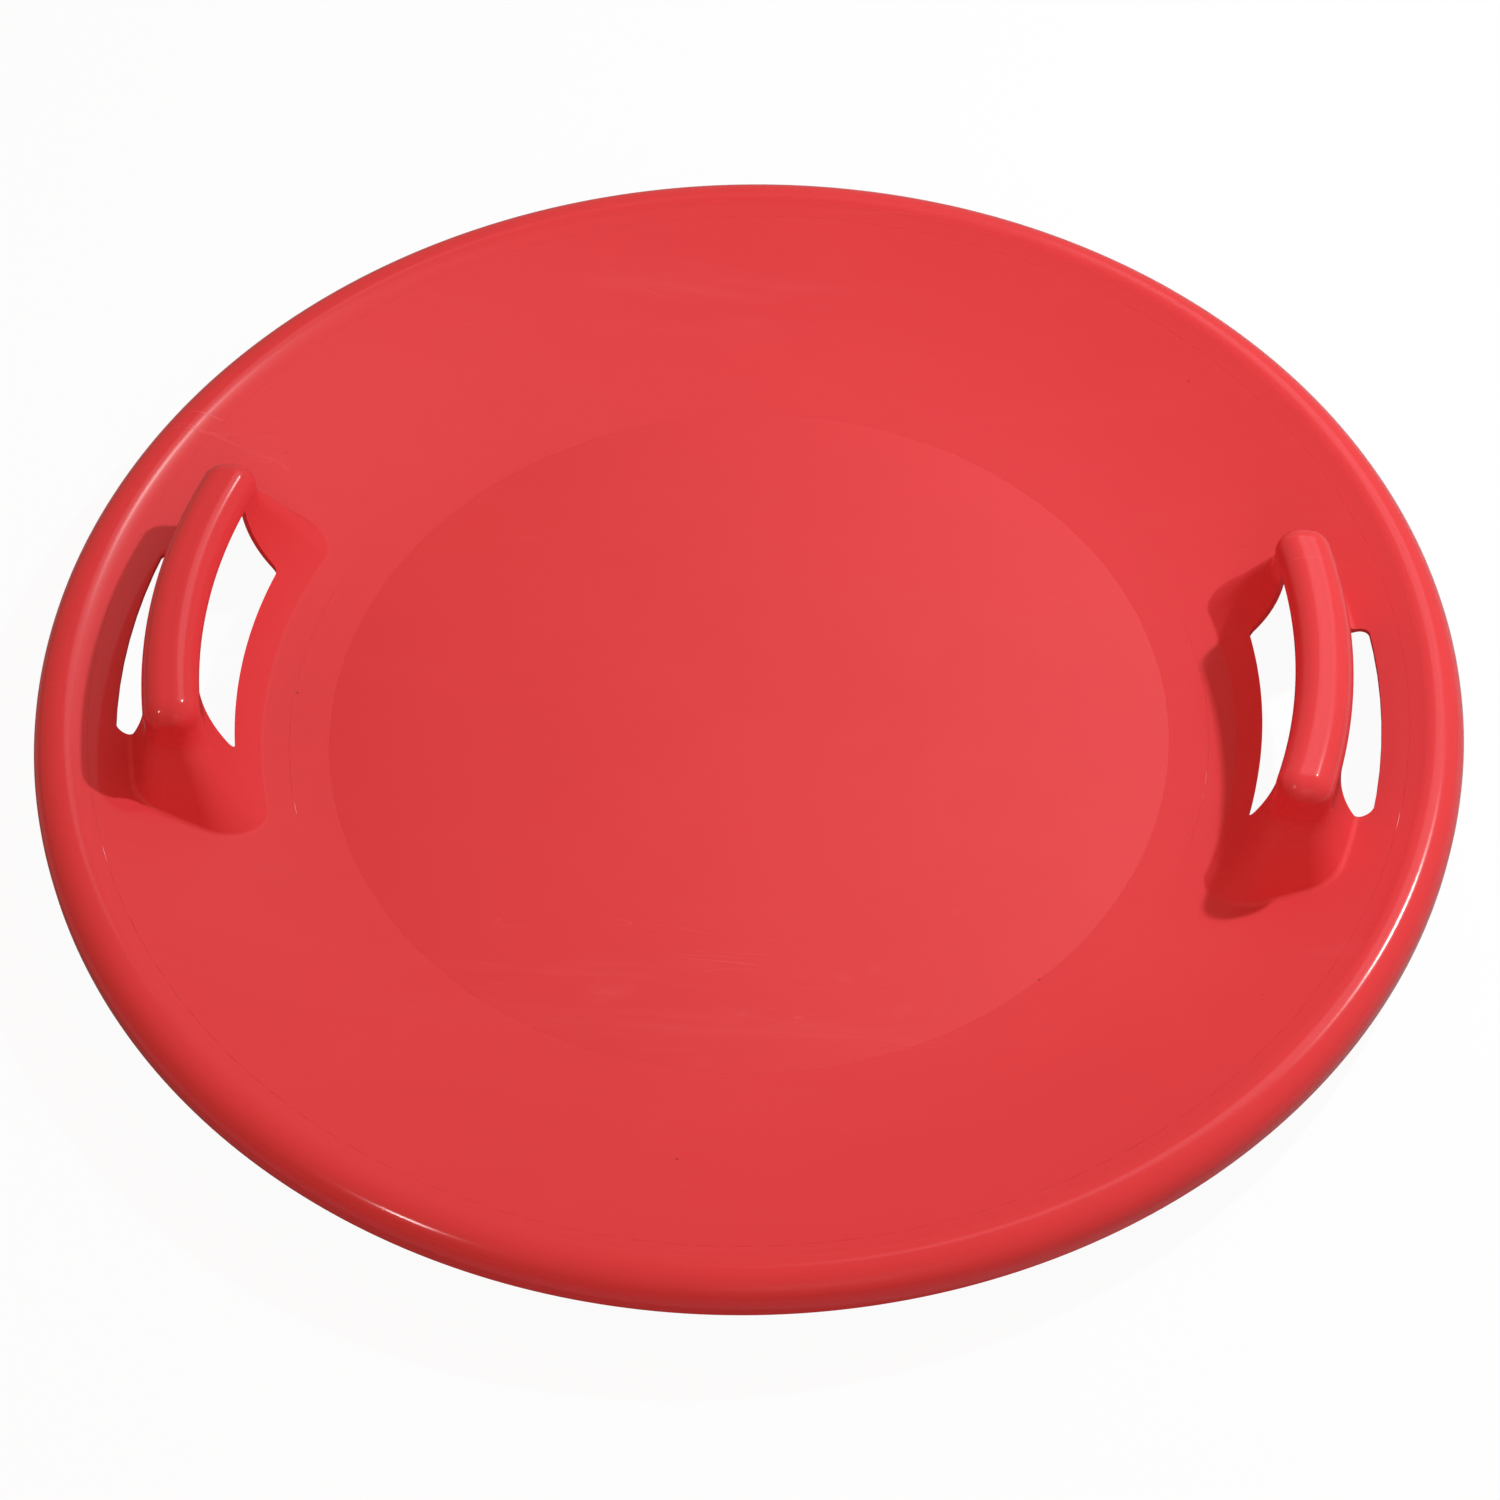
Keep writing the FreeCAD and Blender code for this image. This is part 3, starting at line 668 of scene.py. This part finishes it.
@dataclass
class RolledRim:
    """The rolled rim, turned as one smooth piece.

    Attributes:
        node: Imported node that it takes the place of.
        section: Section that is turned round the upright axis.
        steps: Steps round the circle.
        crease: Angle in degrees from which an edge stays sharp.
        weld: Distance within which points are joined.
    """

    node: str = "rim_roll"
    section: RimSection = RimSection()
    steps: int = 360
    crease: float = 40.0
    weld: float = 1e-6

    def build(self, shop: PlasticShop) -> None:
        """Turns and dresses the rim.

        Args:
            shop: Where the materials come from.
        """
        outline = self.section.points()
        clear_selection()
        bpy.ops.mesh.primitive_circle_add(
            vertices=len(outline),
            fill_type="NOTHING",
            location=(0.0, 0.0, 0.0),
        )
        rim = bpy.context.object
        rim.name = "rolled_rim"
        for vertex, (reach, height) in zip(rim.data.vertices, outline):
            vertex.co = (reach, 0.0, height)
        bpy.ops.object.modifier_add(type="SCREW")
        lathe = rim.modifiers[-1]
        lathe.axis = "Z"
        lathe.angle = math.tau
        lathe.steps = self.steps
        lathe.render_steps = self.steps
        lathe.use_merge_vertices = True
        lathe.merge_threshold = self.weld
        bpy.ops.object.modifier_apply(modifier=lathe.name)
        bpy.ops.object.mode_set(mode="EDIT")
        bpy.ops.mesh.select_all(action="SELECT")
        bpy.ops.mesh.remove_doubles(threshold=self.weld)
        bpy.ops.mesh.normals_make_consistent(inside=False)
        bpy.ops.object.mode_set(mode="OBJECT")
        bpy.ops.object.shade_smooth_by_angle(angle=math.radians(self.crease))
        rim.data.materials.append(shop.material(SHELL_PLASTIC))
        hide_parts(self.node)
        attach(rim, "root")
        LOG.info("turned %s with %d faces", rim.name, len(rim.data.polygons))


@dataclass
class Dish:
    """The round dish.

    Attributes:
        seat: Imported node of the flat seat.
        wall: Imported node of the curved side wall.
        rim: The rolled rim.
    """

    seat: str = "seat_disc"
    wall: str = "side_wall"
    rim: RolledRim = field(default_factory=RolledRim)

    def build(self, shop: PlasticShop) -> None:
        """Dresses the dish's nodes and turns its rim.

        Args:
            shop: Where the materials come from.
        """
        dress(self.seat, shop.material(SEAT_PLASTIC))
        dress(self.wall, shop.material(SHELL_PLASTIC))
        self.rim.build(shop)


@dataclass
class HandGrip:
    """One raised hand grip with its sill and its two feet.

    Attributes:
        side: Side of the sled that it stands on.
        sections: Names of its sections, without the side.
    """

    side: Side
    sections: tuple[str, ...] = ("grip", "sill", "front_foot", "rear_foot")

    def build(self, shop: PlasticShop) -> None:
        """Dresses the grip's nodes.

        Args:
            shop: Where the materials come from.
        """
        for section in self.sections:
            dress("%s_%s" % (self.side.value, section), shop.material(SHELL_PLASTIC))


@dataclass
class PhotoCamera:
    """The camera at the photograph's viewing angle.

    Attributes:
        location: Where it stands.
        azimuth: Turn round the upright axis, in degrees.
        elevation: Height above the horizon, in degrees.
        roll: Turn about its own line of sight, in degrees.
        lens: Focal length in millimetres.
        sensor: Width of the sensor in millimetres.
        far: Distance up to which it sees.
    """

    location: Point = (0.108967, -0.964237, 1.221645)
    azimuth: float = 6.42
    elevation: float = 52.03
    roll: float = -1.26
    lens: float = 80.33
    sensor: float = 36.0
    far: float = 100.0

    def build(self) -> None:
        """Makes the camera."""
        turn = math.radians(self.azimuth)
        rise = math.radians(self.elevation)
        roll = math.radians(self.roll)
        level_reach = math.cos(rise)
        back = Vector((math.sin(turn) * level_reach, -math.cos(turn) * level_reach, math.sin(rise)))
        right = Vector((math.cos(turn), math.sin(turn), 0.0))
        up = back.cross(right)
        level = right * math.cos(roll) + up * math.sin(roll)
        tall = up * math.cos(roll) - right * math.sin(roll)
        clear_selection()
        bpy.ops.object.camera_add(location=self.location)
        camera = bpy.context.object
        camera.name = "photo_camera"
        camera.data.sensor_width = self.sensor
        camera.data.lens = self.lens
        camera.data.clip_end = self.far
        pose = Matrix((level, tall, back)).transposed().to_4x4()
        pose.translation = Vector(self.location)
        camera.matrix_world = pose
        bpy.context.scene.camera = camera
        LOG.info("camera at %s", self.location)


@dataclass(frozen=True)
class SoftLamp:
    """A rectangular studio lamp that is aimed at the sled.

    Attributes:
        name: Name of the lamp.
        towards: Direction from the sled to the lamp.
        distance: Distance from the sled.
        width: Width of its face.
        length: Length of its face.
        power: Power in watts.
        tint: Colour of its light.
        lights: Whether it lights matt surfaces.
        mirrors: Whether it shows in reflections.
    """

    name: str
    towards: Point
    distance: float
    width: float
    length: float
    power: float
    tint: Point = (1.0, 1.0, 1.0)
    lights: bool = True
    mirrors: bool = True

    def build(self) -> None:
        """Makes the lamp."""
        direction = Vector(self.towards).normalized()
        clear_selection()
        bpy.ops.object.light_add(type="AREA", location=direction * self.distance)
        lamp = bpy.context.object
        lamp.name = self.name
        lamp.data.shape = "RECTANGLE"
        lamp.data.size = self.width
        lamp.data.size_y = self.length
        lamp.data.energy = self.power
        lamp.data.color = self.tint
        lamp.visible_diffuse = self.lights
        lamp.visible_glossy = self.mirrors
        lamp.rotation_euler = direction.to_track_quat("Z", "Y").to_euler()
        LOG.info("lamp %s at %.1f m", self.name, self.distance)


STUDIO_LAMPS: tuple[SoftLamp, ...] = (
    SoftLamp(
        name="key_lamp",
        towards=(0.52, 0.30, 0.80),
        distance=1.3,
        width=0.04,
        length=0.05,
        power=10.2,
        tint=(0.85, 1.2, 1.3),
        mirrors=False,
    ),
    SoftLamp(
        name="edge_lamp",
        towards=(0.435, 0.435, 0.79),
        distance=4.4,
        width=0.12,
        length=0.12,
        power=34.0,
        lights=False,
    ),
    SoftLamp(
        name="left_glint",
        towards=(-0.50, -0.55, 0.67),
        distance=2.2,
        width=0.12,
        length=0.12,
        power=2.5,
        lights=False,
    ),
    SoftLamp(
        name="front_fill",
        towards=(0.20, -0.80, 0.56),
        distance=2.2,
        width=0.8,
        length=0.8,
        power=5.0,
        mirrors=False,
    ),
    SoftLamp(
        name="back_softbox",
        towards=(0.22, 0.60, 0.77),
        distance=2.1,
        width=0.9,
        length=1.2,
        power=2.6,
        tint=(1.0, 1.0, 1.1),
        lights=False,
    ),
)


@dataclass
class Studio:
    """Pale floor, white surround and soft lamps.

    Attributes:
        floor_size: Side of the floor.
        floor_drop: How far the floor lies below the sled.
        ambient: Brightness of the surround as it lights the sled.
        ambient_tint: Colour of the surround as it lights the sled.
        floor_glow: Share of plain white in the floor as the camera sees it.
        floor_white: Lightness of the floor as the camera sees it.
        floor_bounce: Lightness of the floor as it lights the sled from below.
        lamps: The lamps.
    """

    floor_size: float = 12.0
    floor_drop: float = 0.0006
    ambient: float = 0.57
    ambient_tint: Colour = (1.0, 0.45, 0.36, 1.0)
    floor_glow: float = 0.95
    floor_white: float = 0.9
    floor_bounce: float = 0.35
    lamps: tuple[SoftLamp, ...] = STUDIO_LAMPS

    @staticmethod
    def seen_directly(sheet: NodeSheet) -> Any:
        """Tells rays that show the surround apart from rays that light by it.

        Args:
            sheet: Sheet of the material or world.

        Returns:
            Socket that is 1 for camera and transmitted rays and 0 for the others.
        """
        path = sheet.add("ShaderNodeLightPath")
        return sheet.maths("MAXIMUM", path.outputs["Is Camera Ray"], path.outputs["Is Transmission Ray"])

    def build_world(self) -> None:
        """Makes the surround, which shows white and lights the sled in its own tint."""
        world = bpy.data.worlds.new("white_surround")
        bpy.context.scene.world = world
        world.use_nodes = True
        sheet = NodeSheet(world.node_tree)
        lit = sheet.add("ShaderNodeBackground")
        lit.inputs["Color"].default_value = self.ambient_tint
        lit.inputs["Strength"].default_value = self.ambient
        shown = sheet.add("ShaderNodeBackground")
        shown.inputs["Color"].default_value = WHITE
        shown.inputs["Strength"].default_value = 1.0
        mix = sheet.add("ShaderNodeMixShader")
        sheet.join(self.seen_directly(sheet), mix.inputs["Fac"])
        sheet.join(lit.outputs[0], mix.inputs[1])
        sheet.join(shown.outputs[0], mix.inputs[2])
        sheet.join(mix.outputs[0], sheet.add("ShaderNodeOutputWorld").inputs["Surface"])

    def floor_material(self) -> Any:
        """Makes a material that is white from above, keeps the sled's shadow and is clear from below.

        Returns:
            The material.
        """
        material = bpy.data.materials.new("pale_floor")
        material.use_nodes = True
        sheet = NodeSheet(material.node_tree)
        seen = self.seen_directly(sheet)
        matt = sheet.add("ShaderNodeBsdfDiffuse")
        shade = sheet.add("ShaderNodeMix", data_type="RGBA", blend_type="MIX")
        sheet.join(seen, shade.inputs["Factor"])
        shade.inputs["A"].default_value = (self.floor_bounce,) * 3 + (1.0,)
        shade.inputs["B"].default_value = (self.floor_white,) * 3 + (1.0,)
        sheet.join(shade.outputs["Result"], matt.inputs["Color"])
        plain = sheet.add("ShaderNodeEmission")
        plain.inputs["Color"].default_value = WHITE
        plain.inputs["Strength"].default_value = 1.0
        mix = sheet.add("ShaderNodeMixShader")
        sheet.join(sheet.maths("MULTIPLY", seen, self.floor_glow), mix.inputs["Fac"])
        sheet.join(matt.outputs[0], mix.inputs[1])
        sheet.join(plain.outputs[0], mix.inputs[2])
        below = sheet.add("ShaderNodeMixShader")
        sheet.join(sheet.add("ShaderNodeNewGeometry").outputs["Backfacing"], below.inputs["Fac"])
        sheet.join(mix.outputs[0], below.inputs[1])
        sheet.join(sheet.add("ShaderNodeBsdfTransparent").outputs[0], below.inputs[2])
        sheet.join(below.outputs[0], sheet.add("ShaderNodeOutputMaterial").inputs["Surface"])
        return material

    def build_floor(self) -> None:
        """Makes the floor just below the sled."""
        clear_selection()
        bpy.ops.mesh.primitive_plane_add(size=self.floor_size, location=(0.0, 0.0, -self.floor_drop))
        floor = bpy.context.object
        floor.name = "studio_floor"
        bpy.ops.object.transform_apply(location=True, rotation=True, scale=True)
        floor.data.materials.append(self.floor_material())
        LOG.info("floor %s", floor.name)

    def build(self) -> None:
        """Makes the surround, the floor and the lamps."""
        self.build_world()
        self.build_floor()
        for lamp in self.lamps:
            lamp.build()
        bpy.context.scene.view_settings.view_transform = "Standard"


def main() -> None:
    """Builds the camera, the sled's looks and the studio in order."""
    logging.basicConfig(level=logging.INFO, format="%(name)s: %(message)s")
    PhotoCamera().build()
    shop = PlasticShop(EffectLibrary())
    Dish().build(shop)
    for side in Side:
        HandGrip(side).build(shop)
    Studio().build()


if __name__ == "__main__":
    main()
